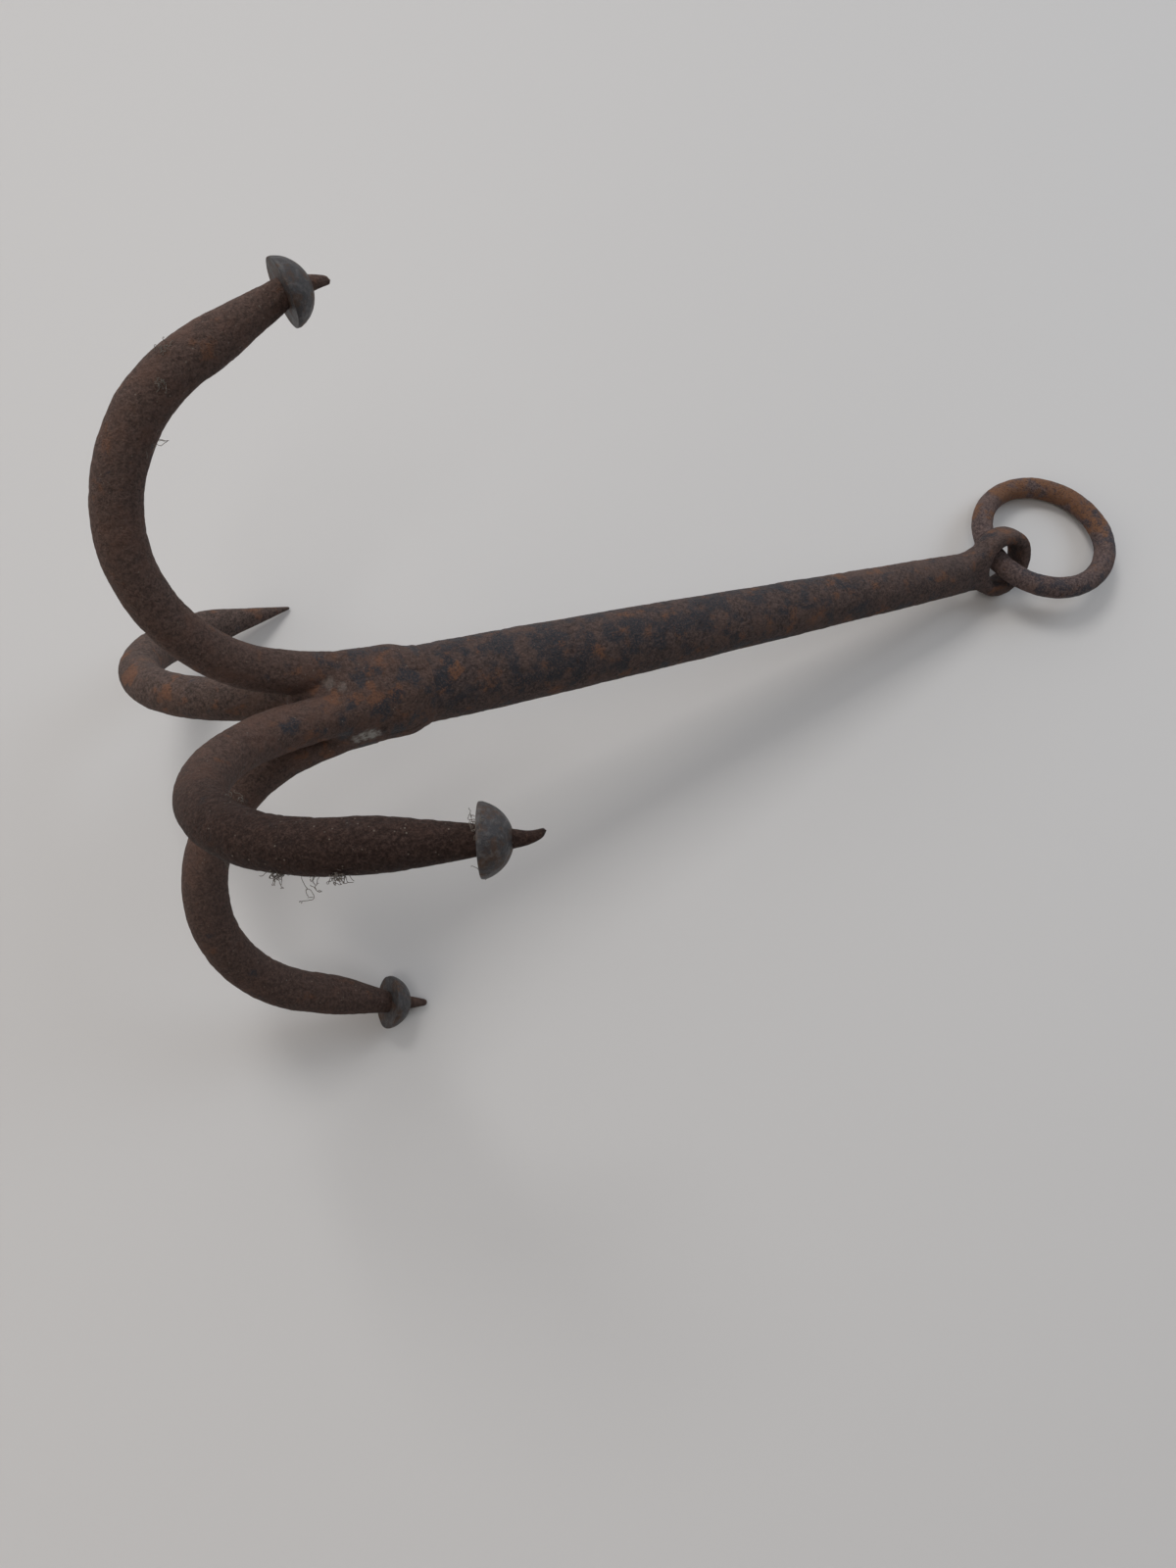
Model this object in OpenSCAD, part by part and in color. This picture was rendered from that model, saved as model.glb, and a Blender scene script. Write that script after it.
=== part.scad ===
// Forged four-prong grapnel with a ring, lying on a table on two of its prongs and its eye.
// Every piece is drawn along the shank, with +X from the weld to the eye, and then laid down
// so that the table is at Z = 0.

/* [Shank] */
// Length from the weld to the centre of the eye
shank_len = 179; // [150:1:230]
// Diameter at the crown, where the prongs are lapped on
crown_d = 18; // [14:0.5:20]
// Diameter at the neck, where the eye begins
neck_d = 10.6; // [8:0.2:13]
// Shape of the taper: 1 is a straight cone, and more keeps the bar thick for longer
taper_power = 1.5; // [1:0.1:2.5]

/* [Eye] */
// Outer diameter of the eye
eye_od = 19.4; // [18:0.2:26]
// Thickness of the eye
eye_t = 7.4; // [5:0.2:9]
// Rounding of the eye's edges
eye_round = 2; // [0.5:0.1:2.2]
// How far the middle of the eye stands off the shank's axis, towards the far side
eye_off = 1.3; // [0:0.1:3]
// Clearance of the ring's bar in the hole, which is made to fit the bar as it leans
hole_clear = 0.2; // [0.1:0.05:1]
// Radius of the hollow where the neck flares into the eye
flare_r = 12; // [6:0.5:20]
// Turn of the hole's axis, from straight up towards the photographed side
eye_turn = 52; // [44:1:80]

/* [Prong bar] */
// Diameter of the bar that the prongs are bent from
bar_d = 10; // [8:0.5:12]
// Distance from the shank's axis to the middle of each bar at the weld
root_r = 5.8; // [5:0.1:7]
// How far the ends of the bars lap over the shank
lap_len = 7; // [4:0.5:12]
// Thickness that the hammered end of each lap keeps
lap_edge = 0.5; // [0.2:0.1:1]

/* [Upper prong, far side] */
// Angle round the shank, from level with the table on the far side
up_roll = 50; // [40:1:62]
// Radius of the slow outward sweep after the weld
up_sweep_r = 79; // [50:1:120]
// Angle of that sweep
up_sweep_a = 20; // [10:1:35]
// Radius of the hook
up_bend_r = 35; // [28:0.5:42]
// Angle of the hook
up_bend_a = 132; // [110:1:150]
// Straight length from the hook to the cap
up_tip = 20; // [17:0.5:30]

/* [Upper prong, near side] */
// Angle round the shank
front_roll = 134; // [120:1:150]
// Radius of the slow outward sweep after the weld
front_sweep_r = 98; // [50:1:120]
// Angle of that sweep
front_sweep_a = 15; // [10:1:35]
// Radius of the hook
front_bend_r = 31.5; // [26:0.5:42]
// Angle of the hook
front_bend_a = 139; // [110:1:150]
// Straight length from the hook to the cap
front_tip = 23; // [17:0.5:30]

/* [Lower prong, near side] */
// Angle round the shank
low_roll = 224; // [210:1:238]
// Radius of the slow outward sweep after the weld
low_sweep_r = 86; // [50:1:120]
// Angle of that sweep
low_sweep_a = 17; // [10:1:35]
// Radius of the hook
low_bend_r = 33; // [27:0.5:42]
// Angle of the hook
low_bend_a = 135; // [110:1:150]
// Straight length from the hook to the cap
low_tip = 22; // [17:0.5:30]

/* [Lower prong, far side, with no cap] */
// Angle round the shank
bare_roll = 314; // [300:1:328]
// Radius of the slow outward sweep after the weld
bare_sweep_r = 61; // [50:1:120]
// Angle of that sweep
bare_sweep_a = 34; // [20:1:42]
// Radius of the hook
bare_bend_r = 33.5; // [27:0.5:42]
// Angle of the hook
bare_bend_a = 132; // [110:1:150]
// Straight length from the hook to the point
bare_tip = 20; // [15:0.5:30]
// Length over which the bar is drawn out to the point
bare_draw = 24; // [20:1:60]

/* [Caps and their spikes] */
// Diameter of a cap
cap_d = 13.1; // [11:0.1:16]
// Height of a cap, from its flat back to the top of its dome
cap_h = 6.2; // [4.5:0.1:8]
// Height of the straight rim under the dome
cap_rim = 0.7; // [0.3:0.1:1.5]
// Length over which each capped bar is drawn down before its cap
draw_len = 16.5; // [10:0.5:17]
// Diameter of the drawn bar where it enters the cap
seat_d = 5.5; // [4:0.1:7]
// Length of the spike that stands out of the dome
spike_len = 4.7; // [3:0.1:8]
// Diameter of the spikes and of the bare point at their ends
point_d = 1.2; // [0.8:0.1:2]

/* [Ring] */
// Diameter of the ring, to the middle of its bar
ring_d = 36.2; // [32:0.1:44]
// Diameter of the ring's bar
ring_bar_d = 6; // [4:0.1:8]
// Direction in which the ring touches the table, seen from its middle
ring_low_dir = 51; // [40:1:62]
// Angle round the ring from there to the eye
ring_hold_a = 142; // [130:1:155]
// Height of the ring's bar above the middle of the hole
ring_lift = 0.3; // [-1:0.1:1]

/* [Hidden] */
$fn = 96;

IRON = [0.30, 0.23, 0.19];
PRONG_IRON = [0.25, 0.19, 0.16];
RING_IRON = [0.38, 0.27, 0.21];
PATINA = [0.25, 0.24, 0.19];

// The cone on the end of the shank that the bars are welded round
core_len = 6;
core_tip_d = 5;
// How far before the eye's hollows the tapered bar ends
neck_back = 0.25;
// How far its round end stays under the flat faces of the eye
neck_sink = 0.1;

// Steps of the curves that are made of points. Those of the bare point lie closer together towards its end.
shank_steps = 14;
round_steps = 5;
draw_steps = 14;
draw_sides = 24;
draw_crowd = 1.5;
sample_step = 4;
settle_tries = 6;

// Shape of the bare point: 1 is a straight cone, and less keeps the bar thick for longer
draw_power = 1;
// Reach of the wedges that cut the bars apart, past the end of any bar
far = 200;

// Each length of a bar is this much thinner than the one before it, and starts this far inside it, so
// that no two surfaces lie exactly on each other. A spike is thinner by less, at the back of its cap.
joint_step = 0.06;
joint_in = 0.3;
seat_step = 0.01;
function bar_r(steps) = (bar_d - steps * joint_step) / 2;

// Each prong: roll, sweep radius, sweep angle, hook radius, hook angle, straight tip
UP = [up_roll, up_sweep_r, up_sweep_a, up_bend_r, up_bend_a, up_tip];
FRONT = [front_roll, front_sweep_r, front_sweep_a, front_bend_r, front_bend_a, front_tip];
LOW = [low_roll, low_sweep_r, low_sweep_a, low_bend_r, low_bend_a, low_tip];
BARE = [bare_roll, bare_sweep_r, bare_sweep_a, bare_bend_r, bare_bend_a, bare_tip];

// A prong lies in a plane through the shank's axis. Places there are [along the shank, out from it], and
// a heading is the way the bar runs: 180 is away from the eye, and 90 is straight out.
function way(heading) = [cos(heading), sin(heading)];
function right_of(heading) = [sin(heading), -cos(heading)];
function bend_heading(p) = 180 - p[2];
function tip_heading(p) = 180 - p[2] - p[4];
function sweep_centre(p) = [0, root_r + p[1]];
function on_sweep(p, heading) = sweep_centre(p) - p[1] * right_of(heading);
function bend_centre(p) = on_sweep(p, bend_heading(p)) + p[3] * right_of(bend_heading(p));
function on_bend(p, heading) = bend_centre(p) - p[3] * right_of(heading);
function bend_end(p) = on_bend(p, tip_heading(p));
function tip_end(p) = bend_end(p) + p[5] * way(tip_heading(p));
function in_space(p, v) = [v.x, v.y * cos(p[0]), v.y * sin(p[0])];

// The drawn point of the bare prong: place, heading and radius at a length back from the point
function back_heading(p, s) = s < p[5] ? tip_heading(p) : tip_heading(p) + (s - p[5]) / p[3] * 180 / PI;
function back_place(p, s) = s < p[5] ? tip_end(p) - s * way(tip_heading(p)) : on_bend(p, back_heading(p, s));
function drawn_r(s) = point_d / 2 + (bar_r(4) - point_d / 2) * min(1, pow(s / bare_draw, draw_power));
draw_backs = [for (i = [0:draw_steps]) (bare_draw + joint_in) * pow(i / draw_steps, draw_crowd)];

// The dome is part of a sphere that meets the rim
dome_h = cap_h - cap_rim;
dome_r = (pow(cap_d / 2, 2) + dome_h * dome_h) / (2 * dome_h);
spike_end = cap_h + spike_len;

// Balls that bound each piece, as [centre, radius], in the shank's own directions
function unit(v) = v / norm(v);
function along_tip(p, s) = in_space(p, tip_end(p) + s * way(tip_heading(p)));
function cap_balls(p) = [[along_tip(p, cap_h - dome_r), dome_r], [along_tip(p, spike_end), point_d / 2]];
function bar_balls(p) = [
    for (heading = [180:-sample_step:bend_heading(p)]) [in_space(p, on_sweep(p, heading)), bar_r(1)],
    for (heading = [bend_heading(p):-sample_step:tip_heading(p)]) [in_space(p, on_bend(p, heading)), bar_r(2)]
];
drawn_balls = [for (s = draw_backs) [in_space(BARE, back_place(BARE, s)), drawn_r(s)]];
bare_balls = concat(drawn_balls, [
    for (heading = [bend_heading(BARE):-sample_step / 4:back_heading(BARE, bare_draw)])
        [in_space(BARE, on_bend(BARE, heading)), bar_r(2)]
]);

// The neck spreads into the eye between two hollows, which meet the eye and the neck without a corner.
// Their centres are given from the middle of the eye, with side -1 for the near one and 1 for the far one.
hollow_reach = eye_od / 2 + flare_r;
function hollow_y(side) = side * (neck_d / 2 + flare_r) - eye_off;
function hollow_x(side) = -sqrt(hollow_reach * hollow_reach - hollow_y(side) * hollow_y(side));
flare_from = min(hollow_x(-1), hollow_x(1));
bar_end = shank_len + flare_from - neck_back;
eye_axis = [0, -sin(eye_turn), cos(eye_turn)];
eye_centre = [shank_len, eye_off * cos(eye_turn), eye_off * sin(eye_turn)];
function eye_ball(up) = let (
    out = unit(up - (up * eye_axis) * eye_axis),
    across = sign(up * eye_axis) * eye_axis
) [eye_centre - (eye_od / 2 - eye_round) * out - (eye_t / 2 - eye_round) * across, eye_round];

// The table is the plane that touches the lowest ball of each of the three places that rest on it
function lowest(balls, up) = let (
    depth = [for (ball = balls) ball[1] - up * ball[0]],
    deepest = max(depth)
) [for (ball = balls) if (ball[1] - up * ball[0] >= deepest) ball][0];
function up_over(a, b, c) = let (
    ac = a[0] - c[0],
    bc = b[0] - c[0],
    size = norm(cross(ac, bc)),
    face = cross(ac, bc) / size,
    lean = (cross(bc, face) * (a[1] - c[1]) + cross(face, ac) * (b[1] - c[1])) / size
) lean + sign(face.z) * face * sqrt(1 - lean * lean);
function settled(up, tries) = tries == 0 ? up
    : settled(up_over(lowest(cap_balls(LOW), up), lowest(bare_balls, up), eye_ball(up)), tries - 1);

table_up = settled([0, 0, 1], settle_tries);
table_x = unit([1, 0, 0] - table_up.x * table_up);
table_y = cross(table_up, table_x);
table_h = table_up * eye_ball(table_up)[0] - eye_round;
function laid_point(v) = [table_x * v, table_y * v, table_up * v - table_h];

// The ring leans from the eye, which holds it up, to the place where it touches the table
ring_r = ring_d / 2;
eye_place = laid_point(eye_centre);
held = eye_place + [0, 0, ring_lift];
ring_tilt = asin((held.z - ring_bar_d / 2) / (ring_r * (1 - cos(ring_hold_a))));
ring_down = [cos(ring_low_dir) * cos(ring_tilt), sin(ring_low_dir) * cos(ring_tilt), -sin(ring_tilt)];
ring_across = [-sin(ring_low_dir), cos(ring_low_dir), 0];
function on_ring(a) = ring_r * (cos(a) * ring_down + sin(a) * ring_across);
ring_centre = held - on_ring(ring_hold_a);

// The ring's bar goes through the eye bowed and leaning, and the hole is as wide as that takes
ring_way = cos(ring_hold_a) * ring_across - sin(ring_hold_a) * ring_down;
hole_way = [table_x * eye_axis, table_y * eye_axis, table_up * eye_axis];
lean_cos = abs(ring_way * hole_way);
lean_sin = sqrt(1 - lean_cos * lean_cos);
ring_bow = eye_t * eye_t / 8 / ring_r;
wall_side = ring_bar_d / 2 + ring_bow + hole_clear + eye_round + (eye_t / 2 - eye_round) * lean_sin;
eye_hole_d = 2 * (wall_side / lean_cos - eye_round);
eye_wall = (eye_od - eye_hole_d) / 2;
hole_round = min(eye_round, eye_wall - eye_round - joint_step);
wall_middle = (eye_od - eye_wall) / 2;
neck_in = shank_len - wall_middle - bar_end + joint_in;

// The origin is under the middle of the box that holds the whole thing
laid_balls = concat(
    [for (p = [UP, FRONT, LOW, BARE]) each [for (ball = bar_balls(p)) [laid_point(ball[0]), ball[1]]]],
    [for (p = [UP, FRONT, LOW]) each [for (ball = cap_balls(p)) [laid_point(ball[0]), ball[1]]]],
    [for (ball = drawn_balls) [laid_point(ball[0]), ball[1]]],
    [for (a = [0:sample_step:359]) [ring_centre + on_ring(a), ring_bar_d / 2]]
);
function middle(axis) = (max([for (ball = laid_balls) ball[0][axis] + ball[1]])
    + min([for (ball = laid_balls) ball[0][axis] - ball[1]])) / 2;
shift = [-middle(0), -middle(1), 0];

echo(eye_place = eye_place + shift);
echo(eye_axis = hole_way, eye_hole_d = eye_hole_d);
echo(weld_place = laid_point([0, 0, 0]) + shift);
echo(ring_centre = ring_centre + shift, ring_tilt = ring_tilt);
echo(table_x = table_x, table_y = table_y, table_up = table_up, table_h = table_h);

// Lays down what is drawn along the shank
module laid() {
    translate(shift - [0, 0, table_h])
        multmatrix([
            [table_x.x, table_x.y, table_x.z, 0],
            [table_y.x, table_y.y, table_y.z, 0],
            [table_up.x, table_up.y, table_up.z, 0],
            [0, 0, 0, 1]
        ])
            children();
}

// A round length from a place in the XY plane along a heading
module run(place, heading, length, r1, r2) {
    translate([place.x, place.y, 0])
        rotate([0, 90, heading])
            cylinder(h = length, r1 = r1, r2 = r2);
}

// A bent length of bar, from a high heading down to a lower one. It starts a little inside the last length.
module bent(centre, radius, from, to, steps) {
    angle_in = joint_in / radius * 180 / PI;
    translate([centre.x, centre.y, 0])
        rotate([0, 0, to + 90])
            rotate_extrude(angle = from + angle_in - to)
                translate([radius, 0])
                    circle(r = bar_r(steps));
}

// The turned shape of the shank, from its core inside the weld to its neck
module shank_bar() {
    bar_len = bar_end - lap_len;
    taper = [for (i = [0:shank_steps]) [
        crown_d / 2 - (crown_d - neck_d) / 2 * pow(i / shank_steps, taper_power),
        lap_len + bar_len * i / shank_steps
    ]];
    rotate([0, 90, 0])
        rotate_extrude()
            polygon(concat([[0, -core_len], [core_tip_d / 2, -core_len]], taper, [[0, bar_end]]));
}

// The eye lies in its own XY plane, with the shank coming in from -X
module eye_blank() {
    inner = eye_hole_d / 2;
    outer = eye_od / 2;
    half = eye_t / 2;
    corners = [
        [outer - eye_round, half - eye_round, 0, eye_round],
        [inner + hole_round, half - hole_round, 90, hole_round],
        [inner + hole_round, hole_round - half, 180, hole_round],
        [outer - eye_round, eye_round - half, 270, eye_round]
    ];
    rotate_extrude()
        polygon([
            for (corner = corners, i = [0:round_steps])
                [corner.x, corner.y] + corner[3] * way(corner.z + 90 * i / round_steps)
        ]);
}

// One side of the spread of the neck, from the bar to where its hollow meets the eye
function flare_side(side) = let (
    neck_edge = side * (neck_d / 2 - joint_step) - eye_off,
    meet = [hollow_x(side), hollow_y(side)] * eye_od / 2 / hollow_reach,
    meet_edge = meet.y - side * joint_step
) [
    [flare_from - joint_step, neck_edge],
    [hollow_x(side), neck_edge],
    [hollow_x(side), meet_edge],
    [meet.x, meet_edge]
];

// The spread of the neck in width, left between its two hollows. It ends inside the wall of the eye.
module flare() {
    flare_t = eye_t - 2 * joint_step;
    difference() {
        translate([0, 0, -flare_t / 2])
            linear_extrude(flare_t)
                polygon(concat(flare_side(-1), [for (i = [3:-1:0]) flare_side(1)[i]]));
        for (side = [-1, 1])
            translate([hollow_x(side), hollow_y(side), -eye_t])
                cylinder(r = flare_r, h = 2 * eye_t);
        translate([0, 0, -eye_t])
            cylinder(r = wall_middle, h = 2 * eye_t);
    }
}

// Half of the angle to each neighbour belongs to a prong where the bars are welded together
module wedge(from, to) {
    translate([-far, 0, 0])
        rotate([90, 0, 90])
            linear_extrude(2 * far)
                polygon([[0, 0], far * way(from), far * (way(from) + way(to)), far * way(to)]);
}

// The end of a bar, scarfed down onto the shank
module lap() {
    intersection() {
        run([0, root_r], 0, lap_len, bar_d / 2, bar_d / 2);
        rotate([0, 90, 0])
            cylinder(h = lap_len, r1 = root_r + bar_d / 2, r2 = crown_d / 2 + lap_edge);
    }
}

// The bar of a prong up to a last heading, welded between its neighbours
module prong_bar(p, last_heading, before, after) {
    difference() {
        intersection() {
            rotate([p[0], 0, 0]) {
                lap();
                bent(sweep_centre(p), p[1], 180, bend_heading(p), 1);
                bent(bend_centre(p), p[3], bend_heading(p), last_heading, 2);
            }
            wedge((before + p[0]) / 2, (p[0] + after) / 2);
        }
        shank_bar();
    }
}

// The cone that carries a cap and stands out of it as the spike
module spike(p) {
    run(tip_end(p) - joint_in * way(tip_heading(p)), tip_heading(p), spike_end + joint_in,
        seat_d / 2 - seat_step, point_d / 2);
}

module capped_prong(p, before, after) {
    color(PRONG_IRON)
        laid() {
            prong_bar(p, tip_heading(p), before, after);
            rotate([p[0], 0, 0]) {
                tip_way = way(tip_heading(p));
                run(bend_end(p) - joint_in * tip_way, tip_heading(p), p[5] - draw_len + joint_in,
                    bar_r(3), bar_r(3));
                run(tip_end(p) - (draw_len + joint_in) * tip_way, tip_heading(p), draw_len + joint_in,
                    bar_r(4), seat_d / 2);
                spike(p);
            }
        }
}

module cap(p) {
    color(PATINA)
        laid()
            rotate([p[0], 0, 0])
                difference() {
                    translate(concat(tip_end(p), 0))
                        rotate([0, 90, tip_heading(p)])
                            intersection() {
                                cylinder(d = cap_d, h = cap_h);
                                translate([0, 0, cap_h - dome_r])
                                    sphere(r = dome_r);
                            }
                    spike(p);
                }
}

module shank() {
    color(IRON)
        laid() {
            shank_bar();
            translate(eye_centre)
                rotate([eye_turn, 0, 0])
                    eye_blank();
            translate(eye_centre)
                rotate([eye_turn, 0, 0])
                    flare();
            run([bar_end - joint_in, 0], 0, neck_in, neck_d / 2 - joint_step, eye_t / 2 - neck_sink);
        }
}

module prong_up() {
    capped_prong(UP, bare_roll - 360, front_roll);
}

module prong_front() {
    capped_prong(FRONT, up_roll, low_roll);
}

module prong_low() {
    capped_prong(LOW, front_roll, bare_roll);
}

// The drawn point is round all the way, and starts inside the end of the hook
module drawn_point() {
    points = [
        for (s = draw_backs, j = [0:draw_sides - 1]) let (
            a = 360 * j / draw_sides,
            side = right_of(back_heading(BARE, s)) * cos(a)
        ) concat(back_place(BARE, s) + drawn_r(s) * side, drawn_r(s) * sin(a))
    ];
    ring_of = [for (j = [0:draw_sides - 1]) j];
    walls = [
        for (i = [0:draw_steps - 1], j = ring_of) let (
            k = (j + 1) % draw_sides,
            low = i * draw_sides,
            high = low + draw_sides
        ) [low + j, high + j, high + k, low + k]
    ];
    first = ring_of;
    last = [for (j = ring_of) draw_steps * draw_sides + draw_sides - 1 - j];
    polyhedron(points, concat(walls, [first, last]));
}

module prong_bare() {
    color(PRONG_IRON)
        laid() {
            prong_bar(BARE, back_heading(BARE, bare_draw), low_roll, up_roll + 360);
            rotate([BARE[0], 0, 0])
                drawn_point();
        }
}

module cap_up() {
    cap(UP);
}

module cap_front() {
    cap(FRONT);
}

module cap_low() {
    cap(LOW);
}

module ring() {
    color(RING_IRON)
        translate(ring_centre + shift)
            rotate([0, ring_tilt, ring_low_dir])
                rotate_extrude()
                    translate([ring_r, 0])
                        circle(d = ring_bar_d);
}

shank();
prong_up();
prong_front();
prong_low();
prong_bare();
cap_up();
cap_front();
cap_low();
ring();
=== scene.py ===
"""Looks of a hand-forged four-prong grapnel with a loose ring, laid on a pale table.

Every piece is worked out in mm along the shank, with +X from the weld to the eye, +Y towards the far side
and +Z away from the table, and is then laid down in the frame's metres."""

import bpy
import numpy as np
from mathutils import Matrix, Vector


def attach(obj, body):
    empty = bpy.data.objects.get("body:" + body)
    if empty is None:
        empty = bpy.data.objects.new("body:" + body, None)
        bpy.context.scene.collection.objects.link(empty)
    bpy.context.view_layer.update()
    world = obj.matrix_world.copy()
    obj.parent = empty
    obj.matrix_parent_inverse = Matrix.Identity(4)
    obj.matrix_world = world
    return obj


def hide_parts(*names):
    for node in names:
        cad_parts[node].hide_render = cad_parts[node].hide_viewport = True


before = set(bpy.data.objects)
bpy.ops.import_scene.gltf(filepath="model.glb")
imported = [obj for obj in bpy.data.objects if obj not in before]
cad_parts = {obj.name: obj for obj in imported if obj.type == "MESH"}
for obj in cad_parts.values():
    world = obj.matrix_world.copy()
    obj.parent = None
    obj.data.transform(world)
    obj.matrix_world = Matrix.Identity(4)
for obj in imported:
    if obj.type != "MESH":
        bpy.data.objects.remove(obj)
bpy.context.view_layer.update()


# The shank: one tapered wrought-iron bar, thick at the crown where the prongs are lapped on and drawn down to
# a squarish neck, whose end is flattened and punched for the ring. Its hammered surface has rusted brown and
# orange between patches of blue-black forge scale.
WELD_PLACE = np.array([-74.8445, 2.00313, 56.5739])
LIE = np.array([[0.962779, -0.00369824, 0.270266],
                [0.0, 0.999906, 0.0136824],
                [-0.270291, -0.0131732, 0.962689]])


def laid(place):
    """Metres in the frame: the weld's place plus the three rows of the lie times a place along the shank."""
    return (WELD_PLACE + place @ LIE.T) / 1000


def unlaid(place):
    """The inverse of laid: mm along the shank from metres in the frame."""
    return (place * 1000 - WELD_PLACE) @ LIE


def lattice(cell, salt):
    """A fixed random value from 0 to 1 for each whole-number cell: its three numbers are multiplied by large
    primes and added, and the bits of the sum are shuffled."""
    mixed = cell @ np.array([73856093, 19349663, 83492791]) + salt * 26544357
    mixed = (mixed ^ (mixed >> 15)) * 2246822519 & 0xFFFFFFFF
    mixed = (mixed ^ (mixed >> 13)) * 3266489917 & 0xFFFFFFFF
    return (mixed ^ (mixed >> 16)) / 0xFFFFFFFF


def lump(place, size, seed):
    """Smooth noise from -1 to 1: random values stand on the corners of cubes of this size in mm, and a place
    takes their mix, weighted along each axis by 3t^2 - 2t^3."""
    scaled = place / size + 31.7 * seed
    cell = np.floor(scaled).astype(np.int64)
    t = scaled - cell
    t = t * t * (3 - 2 * t)
    total = np.zeros(place.shape[:-1])
    for corner in np.ndindex(2, 2, 2):
        weight = np.prod(np.where(corner, t, 1 - t), axis=-1)
        total += weight * lattice(cell + np.array(corner), seed)
    return 2 * total - 1


def pits(place, size, seed):
    """Round pits from 0 to 1 deep: each cube of this size holds one random dot, and the depth falls as
    1 - (2 d)^2 with the distance d to the nearest dot, as a share of the size."""
    scaled = place / size + 13.9 * seed
    cell = np.floor(scaled).astype(np.int64)
    nearest = np.full(place.shape[:-1], 9.0)
    for step in np.ndindex(3, 3, 3):
        home = cell + np.array(step) - 1
        dot = home + np.stack([lattice(home, seed + k) for k in (1, 2, 3)], axis=-1)
        nearest = np.minimum(nearest, np.sum((scaled - dot) ** 2, axis=-1))
    return np.clip(1 - 4 * nearest, 0, 1)


def hammered(place, seed, blow=0.12, pitting=0.16):
    """Height of a forged and rusted surface in mm: broad hammer blows, smaller lumps of scale, and rust pits
    gathered where a broad noise is high."""
    height = blow * lump(place, 9, seed) + 0.5 * blow * lump(place, 4, seed + 1)
    height += 0.045 * lump(place, 1.7, seed + 2) + 0.03 * lump(place, 0.9, seed + 3)
    gathered = np.clip(0.5 + lump(place, 7, seed + 4), 0, 1)
    height -= pitting * gathered * pits(place, 2.6, seed + 5) + 0.5 * pitting * pits(place, 1.3, seed + 9)
    return height


# The photograph's line of sight, along the shank.
VIEW = np.array([0.38711, 0.26451, -0.88332])


def blob(place, centre, size, seed):
    """A ragged spot from 0 to 1: full inside about the size in mm from its centre, with its edge moved by noise.
    Distance along the photograph's line of sight counts a third, so a spot read off it lands on the surface."""
    away = place - np.array(centre)
    far = np.linalg.norm(away - 0.67 * (away @ VIEW)[..., None] * VIEW, axis=-1) / size
    return np.clip(2.2 - 2 * far + 0.9 * lump(place, 0.45 * size, seed), 0, 1)


def tube_faces(rings, around, leftward=False):
    """Quads between neighbouring rings of a closed tube, and a fan to one pole at each end. They face out when
    the rings turn to the right of the way that they follow each other, and leftward rings reverse each face."""
    i = np.arange(rings - 1)[:, None] * around
    j = np.arange(around)[None, :]
    k = (j + 1) % around
    quads = np.stack([i + j, i + around + j, i + around + k, i + k], axis=-1).reshape(-1, 4)
    j, k = j[0], k[0]
    first, last = rings * around, rings * around + 1
    end = (rings - 1) * around
    first_fan = np.stack([j, k, np.full(around, first)], axis=1)
    last_fan = np.stack([end + k, end + j, np.full(around, last)], axis=1)
    faces = [*quads.tolist(), *first_fan.tolist(), *last_fan.tolist()]
    return [face[::-1] for face in faces] if leftward else faces


def loop_faces(ways, around):
    """Quads of a tube that closes on itself: each ring joins the next one, and the last joins the first."""
    i, j = np.meshgrid(np.arange(ways), np.arange(around), indexing="ij")
    i2, j2 = (i + 1) % ways, (j + 1) % around
    faces = np.stack([i * around + j, i2 * around + j, i2 * around + j2, i * around + j2], axis=-1)
    return faces.reshape(-1, 4)


def squarish(value, power):
    """The value with its sign kept and its size raised to the power; below 1, this squares an oval."""
    return np.sign(value) * np.abs(value) ** power


def tube_points(grid):
    """The grid's points in a row, then the middle of its first and of its last ring."""
    return np.concatenate([grid.reshape(-1, 3), grid[:1].mean(axis=1), grid[-1:].mean(axis=1)])


# The lowest that any point lies, in metres, so that no skin shares the table's plane.
ABOVE_TABLE = 0.00001


def piece(name, points, faces, finish_and_shade, material, body, *nodes):
    """One finished object: its points in the frame's metres, a smooth mesh, the painted finish and shade (orange
    rust, blue-black scale, pale wear, and a darkening in hollows and pits that also carries painted shade on the
    hooks of the front and low prongs, 0 to 1 at each point), its material and its place in the frame."""
    mesh = bpy.data.meshes.new(name)
    points[:, 2] = np.maximum(points[:, 2], ABOVE_TABLE)
    mesh.from_pydata(points, [], faces)
    mesh.shade_smooth()
    paint = mesh.attributes.new("finish_and_shade", "FLOAT_COLOR", "POINT")
    paint.data.foreach_set("color", np.clip(np.stack(finish_and_shade, axis=-1), 0, 1).astype(np.float32).ravel())
    mesh.materials.append(material)
    made = bpy.data.objects.new(name, mesh)
    bpy.context.scene.collection.objects.link(made)
    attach(made, body)
    if nodes:
        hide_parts(*nodes)
    return made


def linear(code):
    """Linear RGBA of an sRGB hex colour: c / 12.92 up to 0.04045, and above that ((c + 0.055) / 1.055)^2.4."""
    c = np.array([int(code[i:i + 2], 16) for i in (1, 3, 5)]) / 255
    c = np.where(c <= 0.04045, c / 12.92, ((c + 0.055) / 1.055) ** 2.4)
    return (*c.tolist(), 1.0)


def add(tree, kind, inputs, **settings):
    """Adds a node with its settings, and sets each input or links the socket that feeds it."""
    made = tree.nodes.new("ShaderNode" + kind)
    for key, value in settings.items():
        setattr(made, key, value)
    for key, value in inputs.items():
        if isinstance(value, bpy.types.NodeSocket):
            tree.links.new(value, made.inputs[key])
        else:
            made.inputs[key].default_value = value
    return made


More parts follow.
